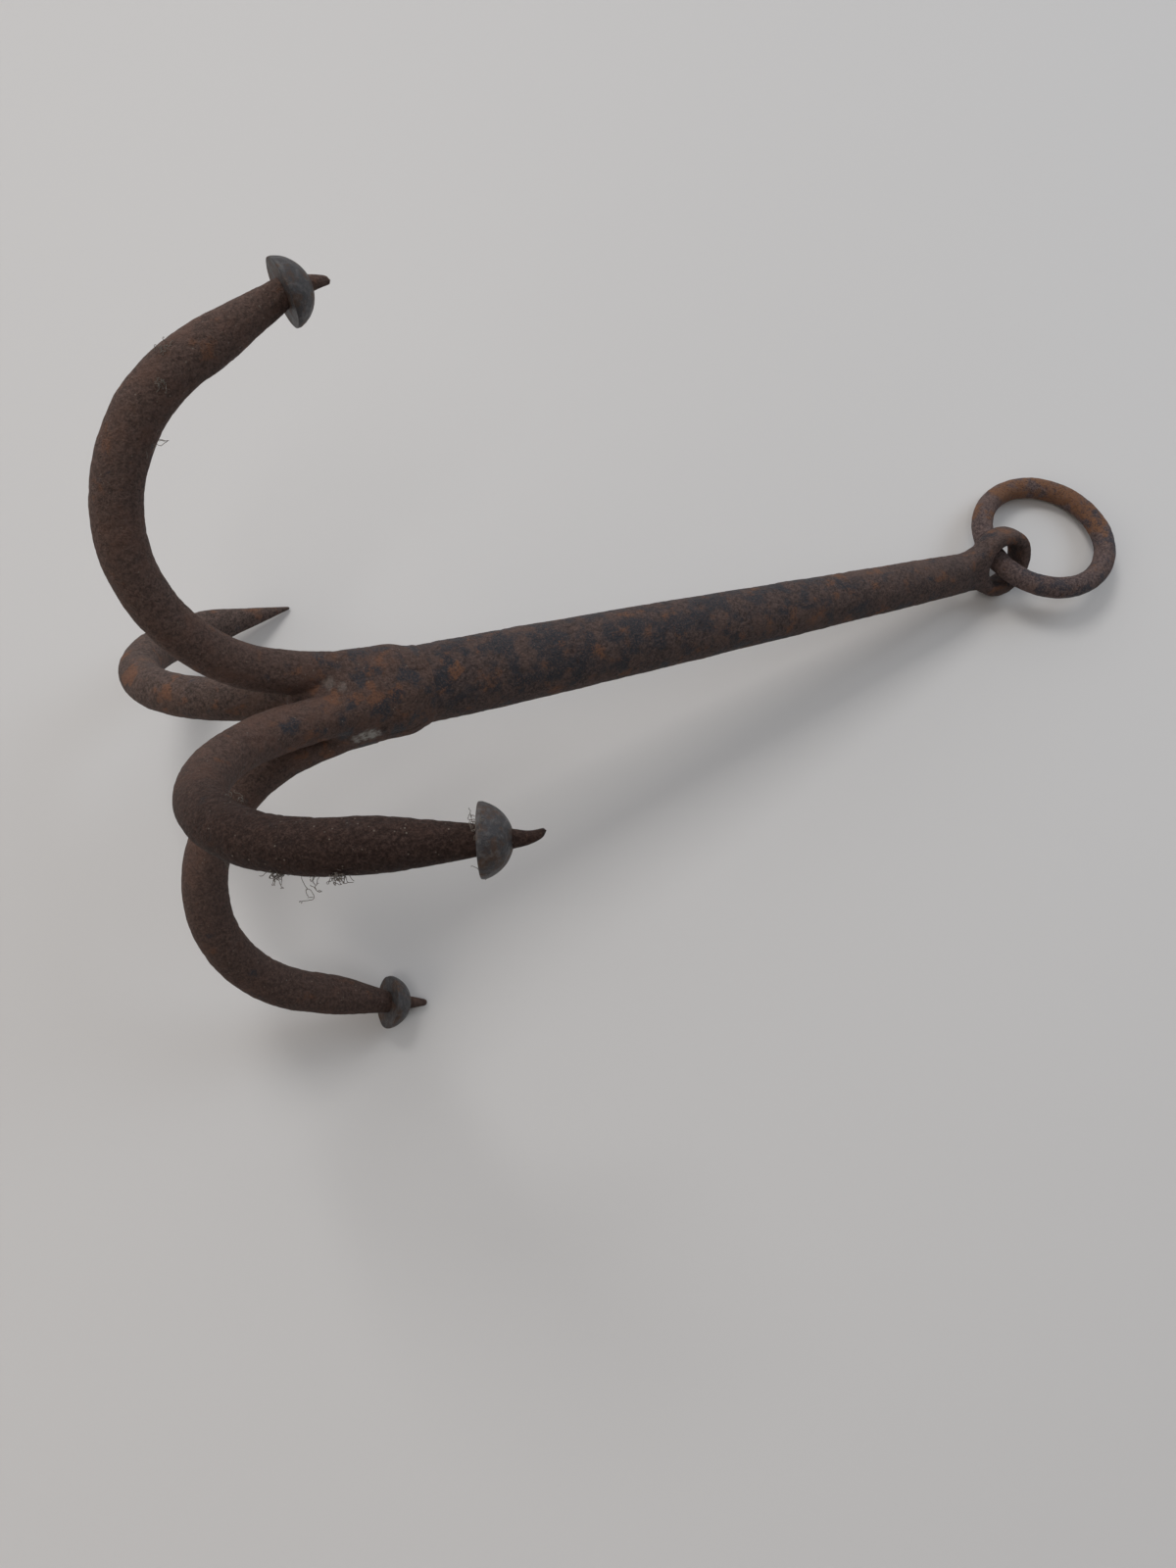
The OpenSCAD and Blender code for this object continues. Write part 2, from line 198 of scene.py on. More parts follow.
def mm_place(tree):
    """Object coordinates in mm."""
    return add(tree, "Mapping", {0: add(tree, "TexCoord", {}).outputs["Object"], 3: (1000, 1000, 1000)}).outputs[0]


def wrought_iron(name, dark, brown, rust, orange, scale, orange_from, scale_from, dust):
    """Old wrought iron: brown rust with a grain of 0.45 mm and a grit of 0.9 mm, warmer rust in clouds of 8 mm,
    orange bloom in patches of 4.6 mm, tight blue-black forge scale of 4.8 mm that shines a little, and pale dust
    specks of 1.2 mm. Noise is thresholded by smooth steps. The grain is coarser than the real 0.1 mm, to show."""
    material = bpy.data.materials.new(name)
    material.use_nodes = True
    tree = material.node_tree
    surface = tree.nodes["Principled BSDF"]
    place = mm_place(tree)
    finish_and_shade = add(tree, "Attribute", {}, attribute_name="finish_and_shade").outputs
    painted = add(tree, "SeparateColor", {0: finish_and_shade["Color"]}).outputs

    def noise(size, detail, rough, shifted=0.0):
        moved = add(tree, "VectorMath", {0: place, 1: (shifted, 2 * shifted, -shifted)}).outputs[0]
        return add(tree, "TexNoise", {0: moved, "Scale": 1 / size, "Detail": detail, "Roughness": rough}).outputs[0]

    def step(value, low, high, top=1.0):
        return add(tree, "MapRange", {0: value, 1: low, 2: high, 4: top}, interpolation_type="SMOOTHSTEP").outputs[0]

    def maths(how, a, b):
        return add(tree, "Math", {0: a, 1: b}, operation=how).outputs[0]

    def mixed(share, a, b):
        return add(tree, "Mix", {0: share, 6: a, 7: b}, data_type="RGBA").outputs[2]

    grain = noise(0.45, 4, 0.7)
    grit = noise(0.9, 3, 0.65, 5.0)
    cloud = noise(8.0, 4, 0.65, 11.0)
    bloom = noise(4.6, 3, 0.55, 23.0)
    flake = noise(4.8, 3, 0.55, 37.0)
    rusting = maths("ADD", bloom, maths("MULTIPLY", painted[0], 0.27))
    orange_share = step(rusting, orange_from, orange_from + 0.15)
    orange_share = maths("MULTIPLY", orange_share, step(grain, 0.3, 0.56, 0.85))
    flaking = maths("ADD", flake, maths("MULTIPLY", painted[1], 0.2))
    scale_share = step(flaking, scale_from, scale_from + 0.15)
    scale_share = maths("MULTIPLY", scale_share, step(grain, 0.72, 0.42))
    pale_share = maths("MULTIPLY", painted[2], step(noise(1.1, 4, 0.7, 51.0), 0.32, 0.5))
    tone = maths("MULTIPLY", maths("ADD", grain, grit), 0.5)
    colour = mixed(step(tone, 0.38, 0.62), linear(dark), linear(brown))
    colour = mixed(step(cloud, 0.46, 0.66, 0.4), colour, linear(rust))
    colour = mixed(orange_share, colour, linear(orange))
    colour = mixed(scale_share, colour, linear(scale))
    colour = mixed(pale_share, colour, linear("#a09c96"))
    # The fourth channel darkens towards #210f08, less on bright grains: in hollows and pits, and as painted shade on
    # the hooks of the front and low prongs.
    shade = add(tree, "MapRange", {0: tone, 1: 0.4, 2: 0.6, 3: 1.0, 4: 0.62}).outputs[0]
    colour = mixed(maths("MULTIPLY", finish_and_shade["Alpha"], shade), colour, linear("#210f08"))
    speck = add(tree, "TexVoronoi", {0: place, "Scale": 1 / 1.2}).outputs[0]
    speck_share = maths("MULTIPLY", step(speck, 0.18, 0.08), step(noise(2.6, 2, 0.5, 67.0), 0.46, 0.6, dust))
    colour = mixed(speck_share, colour, linear("#857a70"))
    tree.links.new(colour, surface.inputs["Base Color"])
    dull = add(tree, "Mix", {0: scale_share, 2: 0.76, 3: 0.56}).outputs[0]
    dull = maths("ADD", dull, maths("MULTIPLY", maths("SUBTRACT", grit, 0.5), 0.4))
    tree.links.new(dull, surface.inputs["Roughness"])
    height = maths("ADD", maths("MULTIPLY", grain, 0.3), maths("MULTIPLY", grit, 0.5))
    height = maths("ADD", height, maths("MULTIPLY", orange_share, 0.04))
    raised = add(tree, "Bump", {"Height": height, "Distance": 0.001, "Strength": 1.0}).outputs[0]
    tree.links.new(raised, surface.inputs["Normal"])
    surface.inputs["Specular IOR Level"].default_value = 0.25
    return material


def spots(place, marks, seed):
    """The highest of several ragged spots, each given as its place and its size in mm."""
    return np.max([blob(place, mark[:3], mark[3], seed + k) for k, mark in enumerate(marks)], axis=0)


def crown_finish(place, height):
    """What the photograph shows round the weld: orange rust along the seam between the upper prongs and in
    two spots, blue-black scale, grey worn metal and a pale chip beside a dark pit. Hollows are darker."""
    orange = spots(place, [
        (-7, 0.6, 10.6, 1.5), (-7.2, -2.3, 10.3, 1.3), (-20, 0, 10.4, 2.2), (-16, -3, 10, 1.8),
        (-11, -4.6, 9.6, 1.7), (-6.9, -5.4, 9.1, 1.9), (-2.4, -5, 9.3, 2), (-19, -10.6, 0.6, 2.6),
        (-25, -10.4, 1.5, 2.4), (13, -2, 9, 2), (-45.8, 16.5, -16.4, 3), (-50, 29, -28, 3)], 41)
    scale = spots(place, [
        (-9.9, -0.6, 10.6, 1.4), (-0.6, -1.5, 10.5, 2.4), (8.6, -4.9, 8, 2.6), (-26, -7.9, 7.1, 3.4),
        (-3.3, 7.6, 7.3, 1.8), (-20, -8, 6, 2.6), (-8, -8.6, 6, 2.2)], 61)
    pale = spots(place, [
        (-7.4, -10.2, 2.8, 0.9), (-8.8, -10.3, 2.4, 1.2), (-10.3, -10.4, 2.1, 1.1), (-12, -10.5, 1.6, 1)], 81)
    pale = np.maximum(pale, 0.22 * spots(place, [(-16.3, 0.1, 10.6, 1.6), (-13.4, -1.4, 10.5, 1.2)], 87))
    pit = spots(place, [(-5.8, -10, 3.5, 0.7)], 91)
    return orange, scale, pale, np.clip(-2.2 * height - 0.3, 0, 0.5) + 0.9 * pit


shank_iron = wrought_iron("rusted_wrought_iron_shank",
                          "#352c2a", "#5e4e4a", "#675148", "#77523d", "#2b2c32", 0.55, 0.57, 0.3)

SHANK_LEN, CROWN_R, NECK_R, LAP_LEN, TAPER_POWER = 179.0, 9.0, 5.3, 7.0, 1.5
EYE_R, HOLE_R, EYE_HALF, EYE_OFF, EYE_TURN = 9.7, 5.43, 3.7, 1.3, np.radians(52)
HOLLOW_R = 12.0
CORE_IN, CORE_TIP_R = 6.0, 2.5
BAR_STOP, FLARE_LEAD, SHANK_VOXEL = 7.4, 0.25, 0.00045
EYE_AXIS = np.array([0, -np.sin(EYE_TURN), np.cos(EYE_TURN)])
EYE_SIDE = np.array([0, np.cos(EYE_TURN), np.sin(EYE_TURN)])


def hollow_edge(x, side):
    """Distance from the shank's axis to the edge of the spreading neck: the neck's own radius, then an arc of
    the hollow's radius, whose centre is set so that it also meets the round of the eye."""
    out = NECK_R + HOLLOW_R
    start = SHANK_LEN - np.sqrt((EYE_R + HOLLOW_R) ** 2 - (out - side * EYE_OFF) ** 2)
    return out - np.sqrt(HOLLOW_R ** 2 - np.clip(x - start, 0, 11) ** 2), start


def shank_surface(step=0.6, around=96, ways=120, section=48):
    """The bar as rings along X, squarish ovals whose radius is the crown's less the taper to the power 1.5 and
    whose width follows the hollows, and the eye as a squarish oval carried round the hole. A squarish oval's
    cosine and sine are made squarish."""
    x = np.arange(-CORE_IN, SHANK_LEN - BAR_STOP, step)
    far_edge, flare_from = hollow_edge(x, 1)
    near_edge, _ = hollow_edge(x, -1)
    bar_end = flare_from - FLARE_LEAD
    along = np.clip((x - LAP_LEN) / (bar_end - LAP_LEN), 0, 1)
    radius = CROWN_R - (CROWN_R - NECK_R) * along ** TAPER_POWER
    in_lap = (x + CORE_IN) / (LAP_LEN + CORE_IN)
    radius = np.where(x < LAP_LEN, CORE_TIP_R + (CROWN_R - CORE_TIP_R) * in_lap, radius)
    flat = np.clip((x - bar_end) / 3, 0, 1)
    half_side = np.where(x > bar_end, (far_edge + near_edge) / 2, radius)
    middle = np.where(x > bar_end, (far_edge - near_edge) / 2, 0)
    half_thick = radius + (EYE_HALF - 0.05 - radius) * flat
    power = (2 / (2 + 0.4 * np.clip((x - 120) / 40, 0, 1) + 1.2 * flat))[:, None]
    turn = -2 * np.pi * np.arange(around) / around
    c, s = np.cos(turn), np.sin(turn)
    side = middle[:, None] + half_side[:, None] * squarish(c, power)
    thick = half_thick[:, None] * squarish(s, power)
    rings = side[..., None] * EYE_SIDE + thick[..., None] * EYE_AXIS
    rings[..., 0] += x[:, None]
    bar = tube_points(rings)
    way = 2 * np.pi * np.arange(ways) / ways
    turn = 2 * np.pi * np.arange(section) / section
    c, s = np.cos(turn), np.sin(turn)
    out = (EYE_R + HOLE_R) / 2 + (EYE_R - HOLE_R) / 2 * squarish(c, 0.6)
    up = EYE_HALF * squarish(s, 0.6)
    spoke = np.cos(way)[:, None] * np.array([1, 0, 0]) + np.sin(way)[:, None] * EYE_SIDE
    eye = out[None, :, None] * spoke[:, None] + up[None, :, None] * EYE_AXIS
    eye += np.array([SHANK_LEN, 0, 0]) + EYE_OFF * EYE_SIDE
    eye_faces = len(bar) + loop_faces(ways, section)
    return np.concatenate([bar, eye.reshape(-1, 3)]), tube_faces(len(x), around) + eye_faces.tolist()


def fused(name, points, faces, voxel):
    """Welds overlapping shells into one skin of even squares of this size in metres, as a forge weld does, and
    gives the skin's points and quads."""
    rough = bpy.data.meshes.new(name)
    rough.from_pydata(points, [], faces)
    holder = bpy.data.objects.new(name, rough)
    bpy.context.scene.collection.objects.link(holder)
    remesh = holder.modifiers.new("weld", "REMESH")
    remesh.mode, remesh.voxel_size, remesh.use_smooth_shade = "VOXEL", voxel, True
    skin = bpy.data.meshes.new_from_object(holder.evaluated_get(bpy.context.evaluated_depsgraph_get()))
    bpy.data.objects.remove(holder)
    flat = np.zeros(len(skin.vertices) * 3)
    skin.vertices.foreach_get("co", flat)
    corners = np.zeros(len(skin.loops), np.int64)
    skin.loops.foreach_get("vertex_index", corners)
    return flat.reshape(-1, 3), corners.reshape(-1, 4)


def relaxed(points, quads, rounds, share):
    """Moves each point, by its own share, towards the middle of its neighbours, round after round."""
    edges = np.concatenate([quads[:, [0, 1]], quads[:, [1, 2]], quads[:, [2, 3]], quads[:, [3, 0]]])
    count = np.bincount(edges[:, 0], minlength=len(points))[:, None]
    for _ in range(rounds):
        total = np.stack([np.bincount(edges[:, 0], points[edges[:, 1], k], len(points)) for k in range(3)], axis=-1)
        points = points + share[:, None] * (total / count - points)
    return points


def normals(points, quads):
    """Unit normals: the crossed diagonals of each quad are added at its corners."""
    face = np.cross(points[quads[:, 2]] - points[quads[:, 0]], points[quads[:, 3]] - points[quads[:, 1]])
    total = np.stack([np.bincount(quads.ravel(), np.repeat(face[:, k], 4), len(points)) for k in range(3)], axis=-1)
    return total / np.linalg.norm(total, axis=1, keepdims=True)


rough_points, rough_faces = shank_surface()
skin, quads = fused("shank_rough", laid(rough_points), rough_faces, SHANK_VOXEL)
skin = unlaid(skin)
near_eye = np.clip((skin[:, 0] - 155) / 10, 0, 1)
skin = relaxed(skin, quads, 8, 0.15 + 0.45 * near_eye)
height = hammered(skin, 3, 0.13, 0.16)
skin = skin + (height - 0.02)[:, None] * normals(skin, quads)
finish_and_shade = list(crown_finish(skin, height))
upper = np.clip(0.6 + skin @ np.array([0, 0.5, 0.8]) / 9, 0, 1)
scaled = np.clip(0.25 + 0.45 * upper + 0.3 * lump(skin, 12, 43), 0, 1) * np.clip((150 - skin[:, 0]) / 50, 0, 1)
finish_and_shade[1] = np.maximum(finish_and_shade[1], scaled)
finish_and_shade[0] = np.maximum(finish_and_shade[0], 0.6 * blob(skin, (186, 4, 6), 5, 97))
shank = piece("shank", laid(skin), quads.tolist(), finish_and_shade, shank_iron, "grapnel", "shank")


# The four prongs: round bar lapped and forge-welded round the end of the shank, swept out and bent back into
# hooks. Three are drawn down to a seat for a cap and go through it as a blunt spike; the fourth has lost its
# cap and is drawn out to a long point. Their rust is grittier than the shank's and full of dust; the hooks of
# the front and low prongs are darker towards their tips, which is painted shade.
prong_iron = wrought_iron("rusted_wrought_iron_prongs",
                          "#44352f", "#645049", "#6c4f43", "#75513e", "#303137", 0.6, 0.64, 0.6)
bare_iron = wrought_iron("rusted_wrought_iron_bare_prong",
                         "#3b302b", "#685650", "#6c5347", "#7c5540", "#37383e", 0.58, 0.63, 0.3)

BAR_R, ROOT_R = 5.0, 5.8
SEAT_R, DRAW_LEN, CAP_H, SPIKE_LEN, SPIKE_R = 2.75, 16.5, 6.2, 4.7, 0.75
PRONG_AROUND, PRONG_STEP, LAP_SINK = 88, 0.4, 1.5
WELD_CORE_R, COLLAR_R, COLLAR_DROP, COLLAR_EDGE = 10.6, 10.9, 1.7, 0.7
WEDGE_OVER, GROOVE_DEEP, GROOVE_WIDE = 0.9, 0.3, 1.8


def soft_least(a, b, width):
    """The lesser of a and b, less a rounding h^2 * width / 4 where they differ by under the width and
    h = 1 - |a - b| / width."""
    h = np.clip(1 - np.abs(a - b) / width, 0, 1)
    return np.minimum(a, b) - h * h * width / 4


def smooth(value, low, high):
    """3t^2 - 2t^3 from 0 at low to 1 at high."""
    t = np.clip((value - low) / (high - low), 0, 1)
    return t * t * (3 - 2 * t)


def turned(place, pivot, twist, share=1.0):
    """Places turned about a pivot by a share of the twist, a vector along the axis and as long as the angle: the
    part along the axis stays, and the rest is turned by cosine and sine."""
    angle = np.linalg.norm(twist)
    axis = twist / max(angle, 1e-9)
    away = place - pivot
    along = (away @ axis)[..., None] * axis
    angle = np.asarray(angle * share)[..., None]
    return pivot + along + np.cos(angle) * (away - along) + np.sin(angle) * np.cross(axis, away)


class Prong:
    """One prong's path in its own plane, as places along and out from the shank: straight over the lap, then
    an arc that sweeps out, an arc that hooks back and a straight tip. The heading falls evenly along an arc."""

    def __init__(self, roll, sweep_r, sweep_a, bend_r, bend_a, tip, gaps, end, lean=0, tilt=0):
        self.roll, self.gaps = np.radians(roll), np.radians(gaps)
        lengths = [LAP_LEN + LAP_SINK, sweep_r * np.radians(sweep_a), bend_r * np.radians(bend_a), tip + end]
        ends = np.concatenate([[0], np.cumsum(lengths)])
        self.tip_at = ends[-1] - end
        self.s = np.linspace(0, ends[-1], int(ends[-1] / PRONG_STEP))
        turn = 180 - np.array([0, 0, sweep_a, sweep_a + bend_a, sweep_a + bend_a])
        self.heading = np.radians(np.interp(self.s, ends, turn))
        way = np.stack([np.cos(self.heading), np.sin(self.heading)], axis=-1)
        middle = (way[1:] + way[:-1]) / 2 * np.diff(self.s)[:, None]
        run = np.concatenate([np.zeros((1, 2)), np.cumsum(middle, axis=0)])
        self.path = np.array([LAP_LEN + LAP_SINK, ROOT_R]) + run
        self.seed = int(roll) % 89
        tip_way = self.place(way[-1, 0], way[-1, 1], 0) - self.place(0, 0, 0)
        self.twist = np.radians(lean * VIEW + tilt * np.cross(tip_way, VIEW))

    def place(self, along, out, beside):
        """Places along the shank from places in the prong's plane and beside it."""
        c, s = np.cos(self.roll), np.sin(self.roll)
        return np.stack([along, out * c - beside * s, out * s + beside * c], axis=-1)

    def tip(self):
        """Where the capped tip is."""
        at = self.path[np.argmin(np.abs(self.s - self.tip_at))]
        return self.place(at[0], at[1], 0 * at[0])

    def root(self, radius, turn):
        """Radius of each ring in each direction where the bars are welded together. From its own middle, a bar
        is the greater of its own circle and a core round the shank's axis, which shrinks to nothing where the
        bars part. It is cut a little past the planes halfway to its neighbours, with a shallow groove there, and
        by a collar that sinks into the shank."""
        along, out = self.path[:, :1], self.path[:, 1:]
        c, s = np.cos(turn)[None, :], np.sin(turn)[None, :]

        def to_circle(reach):
            edge = np.sqrt(np.maximum(reach ** 2 - (out * s) ** 2, 0))
            return (edge - out * c) * smooth(0.98 * radius + out * c + edge, 0, 0.3 * radius)

        slope = np.tan(np.where(s > 0, self.gaps[1], self.gaps[0]))
        apart = np.abs(s) - slope * c
        to_wedge = np.where(apart > 0.001, slope * out / np.maximum(apart, 0.001), 99)
        uneven = 1.6 * lump(np.stack(np.broadcast_arrays(self.seed + 0 * along, 4 * c, 4 * s), axis=-1), 3, 7)
        core = to_circle(WELD_CORE_R - WELD_CORE_R * smooth(-along, 10, 32))
        sinking = COLLAR_R - COLLAR_DROP * smooth(along + uneven, -0.5, 6.5)
        sinking = sinking - COLLAR_EDGE * smooth(along, 6, LAP_LEN + LAP_SINK)
        welded = -soft_least(-radius, -core, 1.5)
        over = np.where(along > -6, soft_least(welded, to_circle(sinking), 0.6), welded)
        cut = soft_least(over, to_wedge + WEDGE_OVER, 0.7)
        gap = np.where(s > 0, self.gaps[1], self.gaps[0])
        beside = (out + cut * c) * np.sin(gap) - cut * np.abs(s) * np.cos(gap)
        return cut - GROOVE_DEEP * np.exp(-(beside / GROOVE_WIDE) ** 2) * smooth(-along, -4, 2)

    def bar(self, radius, curl=None, curl_len=1.0):
        """Rings of the given radius round the path, welded at the root and hammered. Past the tip they lean
        with the cap, and the last of them may curl a little by the square of the length."""
        turn = -2 * np.pi * np.arange(PRONG_AROUND) / PRONG_AROUND
        radius = radius[:, None] * (1 + 0.015 * np.cos(2 * turn + self.seed)[None, :])
        radius = np.where((self.s < 60)[:, None], self.root(radius, turn), radius)
        inward = np.stack([np.sin(self.heading), -np.cos(self.heading)], axis=-1)
        grid = self.path[:, None] + radius[..., None] * np.cos(turn)[None, :, None] * inward[:, None]
        surface = self.place(grid[..., 0], grid[..., 1], radius * np.sin(turn)[None, :])
        middle = self.place(self.path[:, 0], self.path[:, 1], 0 * self.s)[:, None]
        height = hammered(surface, 3, 0.13, 0.16) * np.clip(radius / BAR_R, 0.25, 1)
        away = surface - middle
        outward = away / np.maximum(np.linalg.norm(away, axis=-1, keepdims=True), 0.1)
        surface = surface + (height - 0.03)[..., None] * outward
        past = smooth(self.s, self.tip_at - 1.5, self.tip_at + 1.5)
        surface = turned(surface, self.tip(), self.twist, past[:, None])
        if curl is not None:
            past = np.clip((self.s - (self.s[-1] - curl_len)) / curl_len, 0, 1) ** 2
            surface = surface + past[:, None, None] * np.array(curl)
        return surface, height


def capped_radius(prong, slim=1.0, draw=DRAW_LEN):
    """The bar's radius, then a straight draw to the seat, then the spike, closed by a quarter round."""
    before = prong.s - prong.tip_at
    drawn = np.interp(before, [-draw - 4, -draw, -draw + 4, 0, prong.s[-1] - prong.tip_at],
                      [slim * (BAR_R - 0.04), slim * (BAR_R - 0.14), slim * (BAR_R - 0.6), SEAT_R, SPIKE_R])
    left = prong.s[-1] - prong.s
    return drawn * np.sqrt(np.clip(1 - (1 - left / SPIKE_R).clip(0, 1) ** 2, 0.001, 1))


def prong_piece(name, prong, radius, iron, dark=0.0, **curl):
    """Makes one prong. Its root has the crown's colours, and more orange and scale than its hook, which may
    take painted shade towards its tip, darkened by the share given as dark."""
    surface, height = prong.bar(radius, **curl)
    finish_and_shade = list(crown_finish(surface, height))
    root = smooth(-prong.s, -48, -14)[:, None]
    finish_and_shade[0] = np.maximum(finish_and_shade[0], 0.15 * root)
    finish_and_shade[1] = np.maximum(finish_and_shade[1], 0.9 * root)
    # Painted shade: the hook darkens towards #210f08 from 52 to 92 mm along the bar, by the share given as dark.
    finish_and_shade[3] = np.maximum(finish_and_shade[3], dark * smooth(prong.s, 52, 92)[:, None])
    finish_and_shade = [np.concatenate([layer.ravel(), layer[0, :1], layer[-1, :1]]) for layer in finish_and_shade]
    faces = tube_faces(len(prong.s), PRONG_AROUND, True)
    made = piece(name, laid(tube_points(surface)), faces, finish_and_shade, iron, "grapnel", name)


SPIKE_OUT = CAP_H + SPIKE_LEN
up = Prong(50, 79, 20, 35, 132, 20, (48, 42), SPIKE_OUT - 1.7, lean=9, tilt=9)
front = Prong(134, 98, 15, 31.5, 139, 23, (42, 45), SPIKE_OUT)
low = Prong(224, 86, 17, 33, 135, 22, (45, 45), SPIKE_OUT, lean=-8)
bare = Prong(314, 61, 34, 33.5, 132, 20, (45, 48), 0)
prong_piece("prong_up", up, capped_radius(up, slim=0.965), prong_iron, curl=(0.2, -0.9, -0.18), curl_len=5)
# Painted shade darkens the front prong's hook almost fully towards its tip, and the low one's by about a third.
prong_piece("prong_front", front, capped_radius(front), prong_iron, dark=0.97, curl=(0.5, 0.9, 0.5), curl_len=3.5)
prong_piece("prong_low", low, capped_radius(low, draw=14), prong_iron, dark=0.35)
POINT_R, BARE_DRAW = 0.35, 24.0
point_left = bare.s[-1] - bare.s
bare_radius = soft_least(POINT_R + (BAR_R - 0.1 - POINT_R) * point_left / BARE_DRAW, BAR_R - 0.04, 1.2)
bare_radius *= np.sqrt(np.clip(1 - (1 - point_left / POINT_R).clip(0, 1) ** 2, 0.001, 1))
prong_piece("prong_bare", bare, bare_radius, bare_iron)


# The caps: turned bronze domes with a flat back and a thin rim, pushed over the drawn ends of three prongs.
# They have gone a dull grey-green with brown stains, smoother than the iron, with a few nicks.
CAP_R, CAP_RIM, CAP_AROUND = 6.55, 0.7, 96


def patinated_bronze():
    """Old bronze: a nearly even dark grey-green patina, brown where it is stained, paler where it is rubbed,
    with a low satin shine. The stains are 3 mm across and the rubbed mottle 1.1 mm."""
    material = bpy.data.materials.new("patinated_bronze")
    material.use_nodes = True
    tree = material.node_tree
    surface = tree.nodes["Principled BSDF"]
    place = mm_place(tree)
    stain = add(tree, "TexNoise", {0: place, "Scale": 1 / 3.0, "Detail": 5, "Roughness": 0.6}).outputs[0]
    fine = add(tree, "TexNoise", {0: place, "Scale": 1 / 1.1, "Detail": 5, "Roughness": 0.7}).outputs[0]
    brown = add(tree, "MapRange", {0: stain, 1: 0.46, 2: 0.62}, interpolation_type="SMOOTHSTEP").outputs[0]
    rubbed = add(tree, "MapRange", {0: fine, 1: 0.46, 2: 0.66, 4: 0.4}, interpolation_type="SMOOTHSTEP").outputs[0]
    colour = add(tree, "Mix", {0: brown, 6: linear("#3b393b"), 7: linear("#4b382d")}, data_type="RGBA").outputs[2]
    colour = add(tree, "Mix", {0: rubbed, 6: colour, 7: linear("#716d6b")}, data_type="RGBA").outputs[2]
    tree.links.new(colour, surface.inputs["Base Color"])
    dull = add(tree, "MapRange", {0: stain, 1: 0.3, 2: 0.7, 3: 0.42, 4: 0.62}).outputs[0]
    tree.links.new(dull, surface.inputs["Roughness"])
    raised = add(tree, "Bump", {"Height": fine, "Distance": 0.0003, "Strength": 1.0}).outputs[0]
    tree.links.new(raised, surface.inputs["Normal"])
    surface.inputs["Metallic"].default_value = 0.25
    return material


bronze = patinated_bronze()
DOME_TOP = 5.7
dome_h = DOME_TOP - CAP_RIM
dome_r = (CAP_R ** 2 + dome_h ** 2) / (2 * dome_h)


def cap_piece(name, prong):
    """A cap turned about the tip of its prong. Its profile goes out over the back, round the thin rim and
    over the dome, a part of a sphere, and noise of 3 mm leaves it a little uneven."""
    dome = np.linspace(0, 1, 26)[:, None] * np.arcsin(min(1, CAP_R / dome_r))
    top = np.concatenate([DOME_TOP - dome_r + dome_r * np.cos(dome), dome_r * np.sin(dome)], axis=1)[::-1]
    back = np.stack([np.full(14, 0.05), np.linspace(0.02, CAP_R - 0.3, 14)], axis=-1)
    rim = np.array([[0.0, CAP_R - 0.16], [0.08, CAP_R - 0.03], [0.3, CAP_R], [CAP_RIM, CAP_R]])
    profile = np.concatenate([back, rim, top[1:-1], [[DOME_TOP, 0.05]]])
    turn = -2 * np.pi * np.arange(CAP_AROUND) / CAP_AROUND
    tip = np.argmin(np.abs(prong.s - prong.tip_at))
    heading = prong.heading[-1]
    way = np.array([np.cos(heading), np.sin(heading)])
    side = np.array([np.sin(heading), -np.cos(heading)])
    middle = prong.path[tip] + profile[:, :1] * way
    flat = middle[:, None] + (profile[:, 1:] * np.cos(turn))[..., None] * side
    grid = prong.place(flat[..., 0], flat[..., 1], profile[:, 1:] * np.sin(turn))
    hub = prong.place(middle[:, 0], middle[:, 1], 0 * middle[:, 0])[:, None]
    uneven = 0.05 * lump(grid, 3, prong.seed) - 0.05 - 0.12 * pits(grid, 3.4, prong.seed) ** 2
    away = grid - hub
    grid = turned(grid + uneven[..., None] * away / CAP_R, prong.tip(), prong.twist)
    points = tube_points(grid)
    none = np.zeros(len(points))
    faces = tube_faces(len(profile), CAP_AROUND, True)
    made = piece(name, laid(points), faces, (none, none, none, none), bronze, "grapnel", name)


cap_piece("cap_up", up)
cap_piece("cap_front", front)
cap_piece("cap_low", low)


# The lint: pale fibres that have caught on the rough iron, in tufts under the front prong and behind its cap,
# and a few on the upper prong. They are what shows that the tool has lain in a shed.
FIBRE_R, RENEWED = 0.06, 7


def lint_piece(name, tufts, seed, joints=26, around=5):
    """Fibres as thin closed tubes. Each starts at random within its tuft and heads along the sum of seven
    random steps, one of which is renewed at every joint, so it curls. A circle of the fibre's radius stands
    square to every joint."""
    rng = np.random.default_rng(seed)
    counts = [tuft[3] for tuft in tufts]
    starts, step, wander = (np.repeat([tuft[k] for tuft in tufts], counts, axis=0) for k in (0, 1, 2))
    starts = starts + wander[:, None] * rng.normal(size=(len(starts), 3))
    walk = np.cumsum(rng.normal(size=(len(starts), joints + RENEWED, 3)), axis=1)
    turn = walk[:, RENEWED:] - walk[:, :-RENEWED]
    way = turn / np.linalg.norm(turn, axis=-1, keepdims=True)
    middle = starts[:, None] + np.cumsum(way * step[:, None, None], axis=1)
    across = np.cross(way, way[:, :1] * [0.2, -1, 0.6] + [0.1, 0.3, -0.2])
    across /= np.linalg.norm(across, axis=-1, keepdims=True)
    round_way = 2 * np.pi * np.arange(around)[:, None] / around
    spoke = np.cos(round_way) * across[:, :, None] + np.sin(round_way) * np.cross(way, across)[:, :, None]
    grid = middle[:, :, None] + FIBRE_R * spoke
    points = np.concatenate([tube_points(fibre) for fibre in grid])
    fibre_faces = tube_faces(joints, around, True)
    fibre_points = joints * around + 2
    faces = [[k + index * fibre_points for k in face] for index in range(len(grid)) for face in fibre_faces]
    none = np.zeros(len(points))
    piece(name, laid(points), faces, (none, none, none, none), lint, "grapnel")


